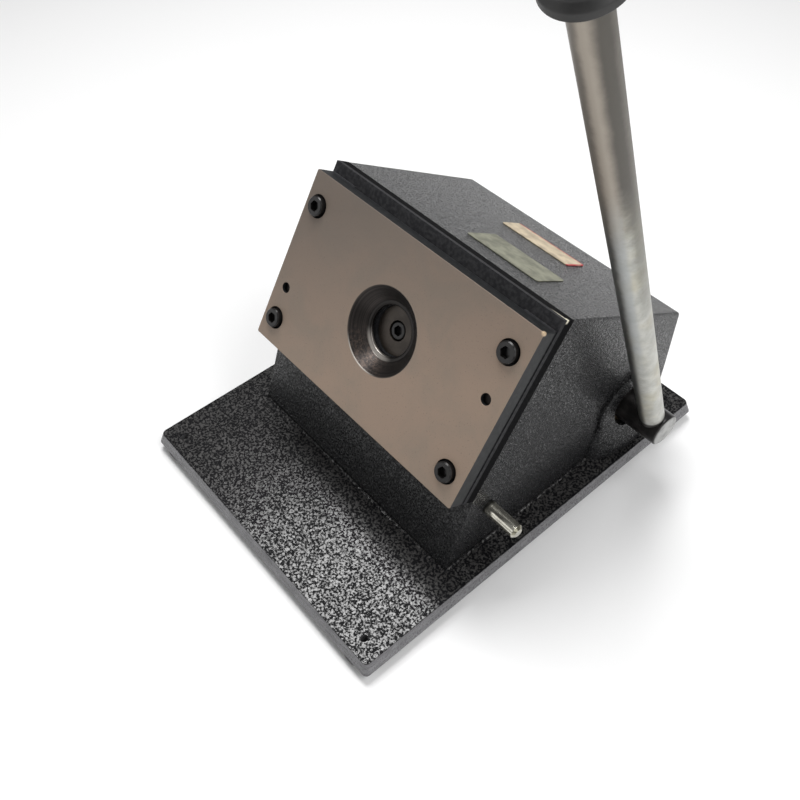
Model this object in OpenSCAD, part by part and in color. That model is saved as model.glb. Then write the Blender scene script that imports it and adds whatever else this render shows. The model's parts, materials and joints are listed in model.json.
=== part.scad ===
// Badge circle cutter: a hand-lever punch press on a base plate.
// Millimetres, Z up, X across the machine, front of the machine towards -Y.
// The origin lies on the table, midway between the four corner holes.

/* [Base plate] */
// Width of the top face
base_w = 200; // [190:1:230]
// Depth of the top face
base_d = 262; // [256:1:290]
// Thickness of the plate
base_t = 8; // [7:0.5:12]
// Corner radius seen from above
base_corner_r = 3; // [2:0.5:10]
// How far the cast edge flares out from top to bottom
base_draft = 2.4; // [0.6:0.1:3.6]
// Radius of each open corner hole
corner_hole_r = 2.15; // [1.6:0.05:3.2]
// Corner hole centre, in from the side edge
corner_hole_side = 12.2; // [11:0.1:15]
// Corner hole centre, in from the front or rear edge
corner_hole_end = 9; // [8:0.1:13]
// Radius of a rubber foot where it meets the plate
foot_r = 12; // [9:0.5:14]
// How much narrower a foot is at the table
foot_taper = 1.2; // [0:0.1:2.5]
// Height of a rubber foot
foot_h = 6; // [4:0.5:12]

/* [Housing] */
// How far the left side face lies outside the die plate's left edge
housing_left_out = 1.8; // [0.8:0.1:4]
// How far the right side face lies inside the die plate's right edge
housing_right_in = 0.4; // [0:0.1:2]
// Foot of the leaning front wall, back from the base's front edge
front_foot_y = 66.5; // [60:0.5:72]
// Foot of the rear wall, back from the base's front edge
rear_foot_y = 244.5; // [243:0.5:252]
// Top rear corner, back from the base's front edge
rear_top_y = 241.6; // [236:0.2:243]
// Top rear corner, above the base
rear_top_z = 81.4; // [74:0.2:92]
// Thickness of the side walls
side_wall = 6; // [4.5:0.5:8]
// Thickness of the sloping top
top_wall = 6; // [4:0.5:8]
// Thickness of the rear wall
rear_wall = 4.5; // [3:0.5:5]
// Thickness of the lower front wall
front_wall = 6; // [4:0.5:8]
// Thickness of the inclined face that carries the plates
face_wall = 10; // [8:0.5:12]
// Rounding of the long outer edges
housing_edge_r = 1.5; // [1:0.5:5]
// Rounding of the top rear edge
rear_edge_r = 3; // [2:0.5:7]
// Radius of the round boss round the cross shaft
boss_r = 23; // [20:0.5:25]
// How far the boss stands out of the right side
boss_proud = 3; // [2:0.5:5]
// How far the boss's foot spreads out over the base
boss_foot_out = 10.6; // [6:0.2:12]
// Half the length of the boss's foot along the base
boss_foot_half = 32; // [26:1:34]
// Radius of the four pillars for the housing screws
pillar_r = 9; // [7.5:0.5:10]
// Height of those pillars
pillar_h = 26; // [20:1:30]
// Gap between a pillar's centre and the walls it stands by
pillar_in = 8; // [6:0.5:10]

/* [Plates on the inclined face] */
// Lean of the plates back from upright, in degrees
tilt = 32.4; // [31:0.1:34]
// Lower front edge of the die plate, back from the base's front edge
die_foot_y = 67.8; // [66:0.2:70]
// Lower front edge of the die plate, above the base
die_foot_z = 60.5; // [58:0.5:64]
// Die centre, to the right of the middle of the base
die_x = 4.3; // [2:0.1:6]
// Width of the die plate
die_w = 165; // [158:0.5:168]
// Height of the die plate along its slope
die_h = 102.2; // [98:0.2:106]
// Thickness of the die plate
die_t = 9.3; // [8.6:0.1:11]
// Thickness of the paper slot behind the die plate
slot_t = 2.3; // [1:0.1:3]
// Thickness of the stripper plate
stripper_t = 2.8; // [2:0.1:4]
// Thickness of the guide plate
guide_t = 6.1; // [4:0.1:8]
// How far the stripper and guide plates reach past the die plate's left edge
back_left_out = 0.4; // [0:0.1:1]
// How far they stop short of the die plate's right edge
back_right_in = 0.2; // [0:0.1:2]
// How far they rise above the die plate
back_rise = 6.1; // [3:0.1:8]
// Width of the strips that set the paper slot
spacer_w = 20; // [19:0.5:24]
// Screw rows, in from the die plate's left edge
screw_left = 9.4; // [9:0.1:12]
// Screw rows, in from the die plate's right edge
screw_right = 11.6; // [9:0.1:12]
// Upper screws, down from the die plate's top edge
screw_top = 17.6; // [12:0.1:20]
// Lower screws, up from the die plate's bottom edge
screw_bottom = 14.6; // [12:0.1:20]
// Left dowel, in from the left edge
dowel_left = 9; // [8:0.1:12]
// Left dowel, up from the bottom edge
dowel_left_up = 34; // [32:0.5:50]
// Right dowel, in from the right edge
dowel_right = 10.6; // [8:0.1:12]
// Right dowel, up from the bottom edge
dowel_right_up = 58.9; // [45:0.5:64]
// Radius of a dowel
dowel_r = 3; // [2:0.1:4]
// How deep a dowel's end lies below the die plate's face
dowel_sunk = 2.5; // [0.5:0.1:4]

/* [Die hole and punch] */
// Radius of the funnel at the die plate's face
funnel_r = 23.9; // [21:0.1:27]
// Radius of the funnel at its floor
funnel_floor_r = 16; // [14.8:0.1:18]
// Depth of the funnel
funnel_depth = 7.3; // [5:0.1:8]
// Radius of the punch, which is the radius it cuts
punch_r = 13.6; // [11:0.1:14.4]
// Radial clearance of the punch in the die and the plates
punch_clear = 0.05; // [0.02:0.01:0.1]
// Depth of the punch's face behind the die plate's face, at rest
punch_face = 13; // [12.4:0.1:14]
// Length of the punch ahead of its flange
punch_len = 28; // [24:0.5:32]
// Radius of the punch's flange
punch_flange_r = 16.4; // [16:0.1:17]
// Thickness of the punch's flange
punch_flange_t = 6; // [4:0.5:8]
// Radius of the ram
ram_r = 15; // [14:0.1:15.4]
// Radial running clearance of the ram in its bush
ram_clear = 0.05; // [0.02:0.01:0.1]
// Outer radius of the ram's bush
bush_r = 19; // [18:0.1:20]
// Length of the ram's bush
bush_len = 39; // [30:0.5:42]
// Outer radius of the cast sleeve that holds the bush
sleeve_r = 25; // [23:0.5:27]
// Gap between the punch's flange and the bush, at rest
flange_gap = 0.1; // [0.05:0.05:0.5]

/* [Shaft, eccentric and yoke] */
// Distance from the die plate's face back to the cross shaft
shaft_back = 133.3; // [131:0.1:134]
// Radius of the shaft where it carries the lever
shaft_r = 10; // [9.5:0.1:11.5]
// Radius of the shaft where it carries the eccentric
shaft_core_r = 8; // [7:0.1:8.4]
// Right end of the shaft, out from the housing's right side
shaft_out = 30; // [28:0.1:34]
// Radial running clearance of the shaft in its bushes
shaft_clear = 0.05; // [0.02:0.01:0.1]
// Wall of the right shaft bush
right_bush_wall = 3; // [2:0.1:4]
// Wall of the left shaft bush
left_bush_wall = 3; // [2:0.1:4]
// Length of the right shaft bush
right_bush_len = 20; // [14:0.5:26]
// Length of the left shaft bush
left_bush_len = 20; // [14:0.5:26]
// Radius of the cast sleeve round the left bush
left_sleeve_r = 16; // [14:0.5:18]
// Offset of the eccentric from the shaft
ecc_throw = 6.8; // [5.5:0.1:7]
// Radius of the eccentric
ecc_r = 17.5; // [17:0.1:18]
// Width of the eccentric
ecc_w = 19.6; // [16:0.1:20]
// Turn of the lever from rest to its down stop, in degrees
lever_turn = 61.2; // [50:0.1:61.2]
// Play between the eccentric and the yoke, each side
yoke_gap = 0.25; // [0.2:0.05:0.4]
// Thickness of the yoke's legs
yoke_leg_t = 4; // [3:0.1:4.2]
// Gap between the eccentric's faces and the legs
yoke_side_gap = 0.8; // [0.4:0.1:1.2]
// Thickness of the yoke's rear bar
yoke_bar_t = 4; // [3:0.1:4.5]
// Half the height of the yoke
yoke_half = 13; // [12:0.1:13.4]
// Length of the yoke's legs beside the ram
yoke_grip = 22; // [18:0.5:24]
// Width of the key
key_w = 5; // [4:0.1:6]
// Height of the key
key_h = 4.8; // [4:0.1:5]
// Shaft collar's outer radius
collar_r = 14; // [12:0.5:17]
// Shaft collar's width
collar_w = 10; // [8:0.5:14]

/* [Return spring] */
// Radius of the spring's wire
spring_wire_r = 1.5; // [1:0.1:2]
// Inner radius of the spring's coil
spring_bore_r = 10.5; // [10:0.1:12]
// Length of the coil along the shaft
spring_len = 24; // [16:1:26]

/* [Lever] */
// Radius of the lever's rod
lever_r = 7; // [6:0.1:7.6]
// Rod's centre line, in from the shaft's right end
lever_in = 9; // [8.8:0.1:11]
// Lean of the lever towards the front, at rest, in degrees
lever_lean = 22.5; // [18:0.5:26]
// How far the rod reaches past the shaft's centre
lever_bite = 6; // [3:0.1:7]
// Length of bare rod from the shaft's centre to the grip
lever_bare = 308; // [260:1:340]
// Length of the grip
grip_len = 104; // [90:1:130]
// Radius of the grip at its widest
grip_r = 14; // [12:0.5:17]
// Radius of the grip at its neck
grip_neck_r = 11.5; // [10:0.5:12]

/* [Stop pin] */
// Radius of the lever's down stop
stop_r = 4.2; // [3:0.05:4.2]
// Centre of the stop pin, back from the base's front edge
stop_y = 97.4; // [92:0.2:104]
// Centre of the stop pin, above the base
stop_z = 32.6; // [30:0.2:34]
// How far the stop pin stands out of the housing
stop_out = 22.2; // [19:0.2:26]

/* [Screws] */
// Head radius of the large socket screws
cap_r = 5.5; // [5:0.1:7]
// Head height of the large socket screws
cap_h = 6; // [5:0.1:8.5]
// Shank radius of the large socket screws
shank_r = 3; // [2.5:0.1:4.4]
// Width of the hexagon socket across its flats
hex_af = 5.4; // [4.5:0.1:7]
// Depth of the hexagon socket
hex_depth = 3; // [2:0.1:5]
// Head radius of the punch's screw
punch_screw_head_r = 5; // [4.5:0.1:6]
// Head height of the punch's screw
punch_screw_head_h = 6; // [5:0.1:8]
// Shank radius of the punch's screw
punch_screw_r = 3; // [2.5:0.1:4]
// Width of the punch's screw's hexagon socket across its flats
punch_screw_af = 5; // [4:0.1:6]
// Clearance round a shank in a plain hole
shank_clear = 0.25; // [0.1:0.05:0.5]
// Clearance round a head in a counterbore
head_clear = 0.9; // [0.3:0.1:1]
// Depth of the counterbores in the die plate
sink_depth = 3.4; // [2.5:0.1:6]
// How deep the plate screws reach into the housing
plate_grip = 14; // [8:0.5:16]

/* [Blank name plates] */
// Thickness of a name plate
tag_t = 0.4; // [0.2:0.1:1]
// Length of the upper name plate, along the slope
tag_a_len = 18.5; // [16:0.5:34]
// Width of the upper name plate
tag_a_w = 50; // [40:1:60]
// Right edge of the upper name plate, from the middle of the base
tag_a_right = 35; // [30:0.5:50]
// Upper name plate's front edge, down the slope from the housing's edge
tag_a_down = 68.5; // [60:0.5:76]
// Length of the lower name plate, along the slope
tag_b_len = 26; // [20:0.5:34]
// Width of the lower name plate
tag_b_w = 50; // [40:1:60]
// Right edge of the lower name plate, from the middle of the base
tag_b_right = 51.5; // [44:0.5:64]
// Lower name plate's front edge, down the slope from the housing's edge
tag_b_down = 16; // [10:0.5:26]

/* [Hidden] */
$fn = 64;

// Small overlap that keeps a cut clear of the face it breaks through
cut = 0.5;
// Facets on a shape that is blended with hull()
blend_fn = 32;
// Spare depth of a counterbore or seat past the piece that it holds
counterbore_spare = 0.3;

// Table, top of the base, and the front edge of the base
base_top = foot_h + base_t;
front_y = -base_d / 2;
corner_x = base_w / 2 - corner_hole_side;
corner_y = base_d / 2 - corner_hole_end;
housing_left = die_w / 2 - die_x + housing_left_out;
housing_right = die_w / 2 + die_x - housing_right_in;

// The plates' own frame has its origin at the die centre on the die plate's face,
// X to the right, Y up the slope and Z out towards the user
die_half_h = die_h / 2;
die_y = front_y + die_foot_y + die_half_h * sin(tilt);
die_z = base_top + die_foot_z + die_half_h * cos(tilt);
stripper_at = die_t + slot_t;
guide_at = stripper_at + stripper_t;
face_at = guide_at + guide_t;
back_top = die_half_h + back_rise;
// A point of the plates' frame, up the slope and deep into the machine, as [y, z]
function slope_yz(up, deep) = [
    die_y + up * sin(tilt) + deep * cos(tilt),
    die_z + up * cos(tilt) - deep * sin(tilt)
];

screw_xs = [-die_w / 2 + screw_left, die_w / 2 - screw_right];
screw_ys = [-die_half_h + screw_bottom, die_half_h - screw_top];
dowels = [
    [-die_w / 2 + dowel_left, -die_half_h + dowel_left_up],
    [die_w / 2 - dowel_right, -die_half_h + dowel_right_up]
];

// Housing profile seen from the right, as [y, z], from the front foot upwards
face_drop = 0.2;
foot_front = [front_y + front_foot_y, base_top];
face_low = slope_yz(-die_half_h - face_drop, face_at);
face_high = slope_yz(back_top - face_drop, face_at);
rear_high = [front_y + rear_top_y, base_top + rear_top_z];
rear_low = [front_y + rear_foot_y, base_top];
housing_profile = [foot_front, face_low, face_high, rear_high, rear_low];
housing_walls = [front_wall, face_wall, top_wall, rear_wall, -cut];
housing_w = housing_left + housing_right;
top_slope = atan2(rear_high.y - face_high.y, rear_high.x - face_high.x);

// Corner where two neighbouring edges meet after each moved inwards by its wall
function turn_right(v) = [v.y, -v.x] / norm(v);
function cross2(a, b) = a.x * b.y - a.y * b.x;
function edge(pts, i) = pts[(i + 1) % len(pts)] - pts[i];
function moved(pts, walls, i) = pts[i] + walls[i] * turn_right(edge(pts, i));
function meet(p, d, q, e) = p + d * cross2(q - p, e) / cross2(d, e);
function inset(pts, walls) = [
    for (i = [0 : len(pts) - 1])
        let (h = (i + len(pts) - 1) % len(pts))
        meet(moved(pts, walls, h), edge(pts, h), moved(pts, walls, i), edge(pts, i))
];
// Points that round the corner at b, between a and c, with radius r
function corner_arc(a, b, c, r, steps = 6) =
    let (
        u = (a - b) / norm(a - b),
        v = (c - b) / norm(c - b),
        half = acos(u * v) / 2,
        mid = (u + v) / norm(u + v),
        o = b + mid * r / sin(half),
        from = b + u * r / tan(half) - o,
        to = b + v * r / tan(half) - o,
        turn = cross2(from, to) > 0 ? 180 - 2 * half : 2 * half - 180
    )
    [for (k = [0 : steps]) let (g = turn * k / steps)
        o + [from.x * cos(g) - from.y * sin(g), from.x * sin(g) + from.y * cos(g)]];
function rounded(pts, radii) = [
    for (i = [0 : len(pts) - 1])
        let (n = len(pts), a = pts[(i + n - 1) % n], c = pts[(i + 1) % n])
        each radii[i] > 0 ? corner_arc(a, pts[i], c, radii[i]) : [pts[i]]
];
function box_points(x0, y0, x1, y1) = [[x0, y0], [x0, y1], [x1, y1], [x1, y0]];

// Cross shaft and what turns on it
shaft_yz = slope_yz(0, shaft_back);
shaft_right = housing_right + shaft_out;
boss_left_proud = 2.5;
shaft_left_face = -housing_left - boss_left_proud;
washer_t = 1.5;
washer_r = 13;
ring_t = 1;
ring_r = 10.5;
ring_groove = 1;
shaft_end_past_ring = 2.5;
ring_at = shaft_left_face - washer_t - ring_t;
shaft_left = ring_at - shaft_end_past_ring;
half_turn = lever_turn / 2;
ecc_up = ecc_throw * cos(half_turn);
ecc_deep = shaft_back + ecc_throw * sin(half_turn);
stroke = 2 * ecc_throw * sin(half_turn);
shaft_chamfer = 1;

// Ram and yoke, as depths behind the die plate's face at rest
punch_seat = punch_face + punch_screw_head_h + counterbore_spare;
flange_at = punch_face + punch_len;
ram_at = flange_at + punch_flange_t;
ram_end = ecc_deep - ecc_r - yoke_gap;
bush_at = ram_at + flange_gap;
bush_end = bush_at + bush_len;
flange_room = 0.6;
yoke_in = ecc_w / 2 + yoke_side_gap;
yoke_out = yoke_in + yoke_leg_t;
yoke_at = ram_end - yoke_grip;
bar_at = ecc_deep + ecc_r + yoke_gap;
yoke_slot_clear = 0.5;
yoke_head_r = 4.2;
yoke_head_h = 2.6;
yoke_shank_r = 2.5;
yoke_shank_len = 10;
yoke_screw_from_end = [6, 16];
punch_shank_len = 44;
punch_screw_clear = 0.5;
punch_screw_hex_depth = 3;
yoke_socket_r = 1.75;
yoke_socket_depth = 1.6;
step_gap = 3;
shaft_step = die_x + yoke_out + yoke_head_h + step_gap;

// Return spring on the shaft, and its collar
spring_mid_r = spring_bore_r + spring_wire_r;
left_bush_end = shaft_left_face + left_bush_len;
left_bush_r = shaft_core_r + shaft_clear + left_bush_wall;
right_bush_r = shaft_r + shaft_clear + right_bush_wall;
collar_gap = 1;
collar_at = left_bush_end + collar_gap;
spring_gap = 0.5;
spring_at = collar_at + collar_w + spring_gap;
spring_hook = 6;
spring_end_r = spring_wire_r * 0.9;
spring_leg_run = 26;
spring_leg_drop = shaft_yz.y - spring_mid_r - base_top - spring_wire_r;
grub_r = 2.5;
grub_sunk = 2;

// Hexagon socket's radius to its corners, and the housing screws' lower heads
hex_r = hex_af / 2 / cos(30);
punch_screw_hex_r = punch_screw_af / 2 / cos(30);
housing_screw_head_h = 5;
housing_screw_hex_depth = 3;
housing_screw_in = 15;
housing_screw_len = base_t - housing_screw_head_h - counterbore_spare + housing_screw_in;
tapped_spare = 2;

// Depths of the cast-in seats for pins and screws
dowel_grip = 7;
stop_grip = 16;
stop_floor = 2;
stop_yz = [front_y + stop_y, base_top + stop_z];
bush_inset = 1.5;
boss_foot_back = 4;
right_sleeve_in = right_bush_len - boss_proud + bush_inset;
sleeve_wall = 6;
screw_boss_wall = 4;
stop_boss_wall = 5;
pillar_rear_spare = 2;
pillar_xs = [-housing_left + side_wall + pillar_in, housing_right - side_wall - pillar_in];
pillar_ys = [
    foot_front.x + front_wall + pillar_in + pillar_r,
    rear_low.x - rear_wall - pillar_in - pillar_rear_spare
];
key_len = ecc_w;
grip_end_wall = 14;
rod_in_grip = grip_len - grip_end_wall;

module in_plate_frame() {
    translate([die_x, die_y, die_z]) rotate([90 - tilt, 0, 0]) children();
}

// A flat layer of the plates' frame between two depths
module layer(from, to) {
    translate([0, 0, -to]) linear_extrude(to - from) children();
}

// A round bar along the die axis between two depths
module along_die(from, to, r) {
    translate([0, 0, -to]) cylinder(h = to - from, r = r);
}

// A [y, z] outline carried across the machine from x0 to x1
module across(x0, x1) {
    translate([x0, 0, 0]) rotate([90, 0, 90]) linear_extrude(x1 - x0) children();
}

// A round bar along X on the shaft's axis
module on_shaft(x0, x1, r) {
    translate([x0, shaft_yz.x, shaft_yz.y]) rotate([0, 90, 0]) cylinder(h = x1 - x0, r = r);
}

// A round bar along X anywhere
module cross_bar(x0, x1, y, z, r) {
    translate([x0, y, z]) rotate([0, 90, 0]) cylinder(h = x1 - x0, r = r);
}

// Socket head screw with its head's seat at z = 0, the shank pointing down
module socket_screw(head_r, head_h, r, length, socket, socket_depth) {
    rim = 0.6;
    difference() {
        union() {
            cylinder(h = head_h - rim, r = head_r);
            translate([0, 0, head_h - rim]) cylinder(h = rim, r1 = head_r, r2 = head_r - rim);
            translate([0, 0, -length]) cylinder(h = length, r = r);
        }
        translate([0, 0, head_h - socket_depth]) cylinder(h = socket_depth + cut, r = socket, $fn = 6);
    }
}

// Headless screw along -Z from its top at z = 0
module grub_screw(r, length) {
    socket_depth = length / 3;
    difference() {
        translate([0, 0, -length]) cylinder(h = length, r = r);
        translate([0, 0, -socket_depth]) cylinder(h = socket_depth + cut, r = r * 0.6, $fn = 6);
    }
}

module at_plate_screws() {
    for (x = screw_xs, y = screw_ys) translate([x, y, 0]) children();
}

module at_dowels() {
    for (p = dowels) translate([p.x, p.y, 0]) children();
}

module at_base_corners() {
    for (sx = [-1, 1], sy = [-1, 1]) translate([sx * corner_x, sy * corner_y, 0]) children();
}

module at_pillars() {
    for (x = pillar_xs, y = pillar_ys) translate([x, y, 0]) children();
}

// Screw and dowel holes through a layer
module plate_holes(from, to) {
    at_plate_screws() along_die(from - cut, to + cut, shank_r + shank_clear);
    at_dowels() along_die(from - cut, to + cut, dowel_r);
}

// Outline shared by the stripper and guide plates
module back_outline() {
    polygon(box_points(-die_w / 2 - back_left_out, -die_half_h, die_w / 2 - back_right_in, back_top));
}

module base_plate() {
    slab = 0.2;
    color([0.11, 0.11, 0.12])
    difference() {
        hull() {
            translate([0, 0, base_top - slab]) base_outline(0, slab);
            translate([0, 0, foot_h]) base_outline(base_draft, slab);
        }
        at_base_corners() translate([0, 0, foot_h - cut]) cylinder(h = base_t + 2 * cut, r = corner_hole_r);
        at_pillars() {
            translate([0, 0, foot_h - cut]) cylinder(h = base_t + 2 * cut, r = shank_r + shank_clear);
            translate([0, 0, foot_h - cut])
                cylinder(h = housing_screw_head_h + counterbore_spare + cut, r = cap_r + head_clear);
        }
    }
}

module base_outline(out, t) {
    w = base_w / 2 + out;
    d = base_d / 2 + out;
    r = base_corner_r;
    linear_extrude(t) polygon(rounded(box_points(-w, -d, w, d), [r, r, r, r]));
}

module rubber_feet() {
    color([0.07, 0.07, 0.07])
    at_base_corners() difference() {
        cylinder(h = foot_h, r1 = foot_r - foot_taper, r2 = foot_r);
        translate([0, 0, -cut]) cylinder(h = foot_h + 2 * cut, r = corner_hole_r);
    }
}

module housing_screws() {
    color([0.2, 0.2, 0.21])
    at_pillars() translate([0, 0, foot_h + housing_screw_head_h + counterbore_spare]) mirror([0, 0, 1])
        socket_screw(cap_r, housing_screw_head_h, shank_r, housing_screw_len, hex_r, housing_screw_hex_depth);
}

// The housing's outside, with its long edges rounded
module housing_outside() {
    side_r = [0, 0, 0, rear_edge_r, 0];
    r = housing_edge_r;
    far = 1;
    high = face_high.y + far;
    reach = 3 * high;
    intersection() {
        across(-housing_left, housing_right) polygon(rounded(housing_profile, side_r));
        linear_extrude(high) polygon(rounded(
            box_points(-housing_left, foot_front.x - far, housing_right, rear_low.x), [0, r, r, 0]));
        translate([0, face_high.x, face_high.y]) rotate([top_slope, 0, 0])
            translate([0, reach, 0]) rotate([90, 0, 0]) linear_extrude(2 * reach) polygon(rounded(
                box_points(-housing_left, -reach, housing_right, 0), [0, r, r, 0]));
    }
}

// The boss round the shaft and its foot, which flows out over the base
module shaft_boss() {
    rim = 1.2;
    inner = 2;
    lip = 3;
    sole = 1;
    on_shaft(housing_right - inner, housing_right + boss_proud - rim, boss_r);
    translate([housing_right + boss_proud - rim, shaft_yz.x, shaft_yz.y]) rotate([0, 90, 0])
        cylinder(h = rim, r1 = boss_r, r2 = boss_r - rim);
    hull() {
        translate([housing_right - inner, shaft_yz.x, shaft_yz.y]) rotate([0, 90, 0])
            cylinder(h = inner + boss_proud / 2, r = boss_r - lip, $fn = blend_fn);
        intersection() {
            translate([housing_right - inner, shaft_yz.x + boss_foot_back, base_top])
                scale([(boss_foot_out + inner) / boss_foot_half, 1, 1])
                cylinder(h = sole, r = boss_foot_half, $fn = 2 * blend_fn);
            translate([housing_right - inner, shaft_yz.x - base_d / 2, base_top])
                cube([boss_foot_out + inner + sole, base_d, sole]);
        }
    }
}

module housing_sleeves() {
    in_plate_frame() along_die(face_at, bush_end, sleeve_r);
    in_plate_frame() at_plate_screws()
        along_die(face_at, face_at + plate_grip + screw_boss_wall, shank_r + screw_boss_wall);
    on_shaft(housing_right - right_sleeve_in, housing_right, right_bush_r + sleeve_wall);
    on_shaft(shaft_left_face, left_bush_end, left_sleeve_r);
    cross_bar(housing_right - stop_grip, housing_right, stop_yz.x, stop_yz.y, stop_r + stop_boss_wall);
    translate([0, 0, base_top]) at_pillars() cylinder(h = pillar_h, r = pillar_r);
}

module housing() {
    color([0.11, 0.11, 0.12])
    difference() {
        union() {
            difference() {
                union() {
                    housing_outside();
                    shaft_boss();
                }
                across(-housing_left + side_wall, housing_right - side_wall)
                    polygon(inset(housing_profile, housing_walls));
            }
            housing_sleeves();
        }
        in_plate_frame() {
            along_die(face_at - cut, bush_at, punch_flange_r + flange_room);
            along_die(bush_at - cut, bush_end + cut, bush_r);
            at_plate_screws() along_die(face_at - cut, face_at + plate_grip + tapped_spare, shank_r);
            at_dowels() along_die(face_at - cut, face_at + dowel_grip, dowel_r);
        }
        on_shaft(housing_right - right_sleeve_in - cut, housing_right + boss_foot_out + cut, right_bush_r);
        on_shaft(shaft_left_face - cut, left_bush_end + cut, left_bush_r);
        cross_bar(housing_right - stop_grip + stop_floor, housing_right + cut, stop_yz.x, stop_yz.y, stop_r);
        translate([0, 0, base_top - cut]) at_pillars()
            cylinder(h = housing_screw_in + tapped_spare + cut, r = shank_r);
    }
}

module die_plate() {
    color([0.56, 0.5, 0.45])
    in_plate_frame() difference() {
        layer(0, die_t) polygon(rounded(
            box_points(-die_w / 2, -die_half_h, die_w / 2, die_half_h), [1, 1, 1, 1]));
        rotate_extrude() polygon([
            [0, -die_t - cut], [punch_r + punch_clear, -die_t - cut],
            [punch_r + punch_clear, -funnel_depth], [funnel_floor_r, -funnel_depth],
            [funnel_r, 0], [funnel_r, cut], [0, cut]
        ]);
        plate_holes(0, die_t);
        at_plate_screws() along_die(-cut, sink_depth, cap_r + head_clear);
    }
}

module slot_spacers() {
    edge_in = 0.8;
    color([0.1, 0.1, 0.11])
    in_plate_frame() difference() {
        layer(die_t, stripper_at) {
            polygon(box_points(-die_w / 2 + edge_in, -die_half_h, -die_w / 2 + spacer_w, die_half_h));
            polygon(box_points(die_w / 2 - spacer_w, -die_half_h, die_w / 2 - edge_in, die_half_h));
        }
        plate_holes(die_t, stripper_at);
    }
}

module stripper_plate() {
    color([0.16, 0.16, 0.17])
    in_plate_frame() difference() {
        layer(stripper_at, guide_at) back_outline();
        along_die(stripper_at - cut, guide_at + cut, punch_r + punch_clear);
        plate_holes(stripper_at, guide_at);
    }
}

module guide_plate() {
    color([0.09, 0.09, 0.1])
    in_plate_frame() difference() {
        layer(guide_at, face_at) back_outline();
        along_die(guide_at - cut, face_at + cut, punch_r + punch_clear);
        plate_holes(guide_at, face_at);
    }
}

module plate_screws() {
    color([0.16, 0.16, 0.17])
    in_plate_frame() at_plate_screws() translate([0, 0, -sink_depth])
        socket_screw(cap_r, cap_h, shank_r, face_at - sink_depth + plate_grip, hex_r, hex_depth);
}

module dowel_pins() {
    color([0.3, 0.29, 0.28])
    in_plate_frame() at_dowels() along_die(dowel_sunk, face_at + dowel_grip, dowel_r);
}

module ram_bush() {
    color([0.72, 0.52, 0.25])
    in_plate_frame() difference() {
        along_die(bush_at, bush_end, bush_r);
        along_die(bush_at - cut, bush_end + cut, ram_r + ram_clear);
    }
}

module punch() {
    color([0.5, 0.47, 0.44])
    in_plate_frame() difference() {
        union() {
            along_die(punch_face, flange_at, punch_r);
            along_die(flange_at, ram_at, punch_flange_r);
        }
        along_die(punch_face - cut, punch_seat, punch_screw_head_r + punch_screw_clear);
        along_die(punch_face, ram_at + cut, punch_screw_r + shank_clear);
    }
}

module punch_screw() {
    color([0.16, 0.16, 0.17])
    in_plate_frame() translate([0, 0, -punch_seat])
        socket_screw(
            punch_screw_head_r, punch_screw_head_h, punch_screw_r, punch_shank_len,
            punch_screw_hex_r, punch_screw_hex_depth);
}

// Yoke screw places: from the ram's end, on both sides
module at_yoke_screws() {
    for (side = [-1, 1], back = yoke_screw_from_end)
        translate([side * yoke_out, 0, back - ram_end]) rotate([0, side * 90, 0]) children();
}

module ram() {
    color([0.55, 0.55, 0.56])
    in_plate_frame() difference() {
        along_die(ram_at, ram_end, ram_r);
        along_die(ram_at - cut, punch_seat + punch_shank_len + tapped_spare, punch_screw_r);
        for (side = [-1, 1])
            translate([side * (yoke_in + ram_r / 2), 0, -yoke_at - yoke_grip / 2])
                cube([ram_r, 3 * ram_r, yoke_grip + 2 * cut], center = true);
        at_yoke_screws() translate([0, 0, -yoke_shank_len]) cylinder(h = yoke_shank_len, r = yoke_shank_r);
    }
}

module ram_yoke() {
    slot_half = shaft_core_r + yoke_slot_clear;
    color([0.42, 0.43, 0.45])
    in_plate_frame() difference() {
        layer(yoke_at, bar_at + yoke_bar_t) polygon(box_points(-yoke_out, -yoke_half, yoke_out, yoke_half));
        layer(yoke_at - cut, bar_at) polygon(box_points(-yoke_in, -yoke_half - cut, yoke_in, yoke_half + cut));
        translate([-yoke_out - cut, -slot_half, -shaft_back - slot_half - stroke])
            cube([2 * (yoke_out + cut), 2 * slot_half, 2 * slot_half + stroke]);
        at_yoke_screws() translate([0, 0, -yoke_leg_t - cut])
            cylinder(h = yoke_leg_t + 2 * cut, r = yoke_shank_r);
    }
}

module yoke_screws() {
    color([0.2, 0.2, 0.21])
    in_plate_frame() at_yoke_screws()
        socket_screw(yoke_head_r, yoke_head_h, yoke_shank_r, yoke_shank_len, yoke_socket_r, yoke_socket_depth);
}

// Keyway and key lie on the thick side of the eccentric
module at_key() {
    in_plate_frame() translate([0, 0, -shaft_back]) rotate([-half_turn, 0, 0]) children();
}

module cross_shaft() {
    color([0.33, 0.31, 0.3])
    difference() {
        union() {
            on_shaft(shaft_left, shaft_step, shaft_core_r);
            on_shaft(shaft_step, shaft_right - shaft_chamfer, shaft_r);
            translate([shaft_right - shaft_chamfer, shaft_yz.x, shaft_yz.y]) rotate([0, 90, 0])
                cylinder(h = shaft_chamfer, r1 = shaft_r, r2 = shaft_r - shaft_chamfer);
        }
        at_key() translate([-key_len / 2, shaft_core_r - key_h / 2, -key_w / 2])
            cube([key_len, key_h, key_w]);
        on_lever_axis() translate([0, 0, -lever_bite]) cylinder(h = lever_bite + 2 * shaft_r, r = lever_r);
        difference() {
            on_shaft(ring_at, ring_at + ring_t, ring_r);
            on_shaft(ring_at - cut, ring_at + ring_t + cut, shaft_core_r - ring_groove);
        }
    }
}

module shaft_bush_right() {
    color([0.72, 0.52, 0.25])
    difference() {
        on_shaft(housing_right - right_sleeve_in, housing_right + boss_proud - bush_inset, right_bush_r);
        on_shaft(housing_right - right_sleeve_in - cut, housing_right + boss_proud, shaft_r + shaft_clear);
    }
}

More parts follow.
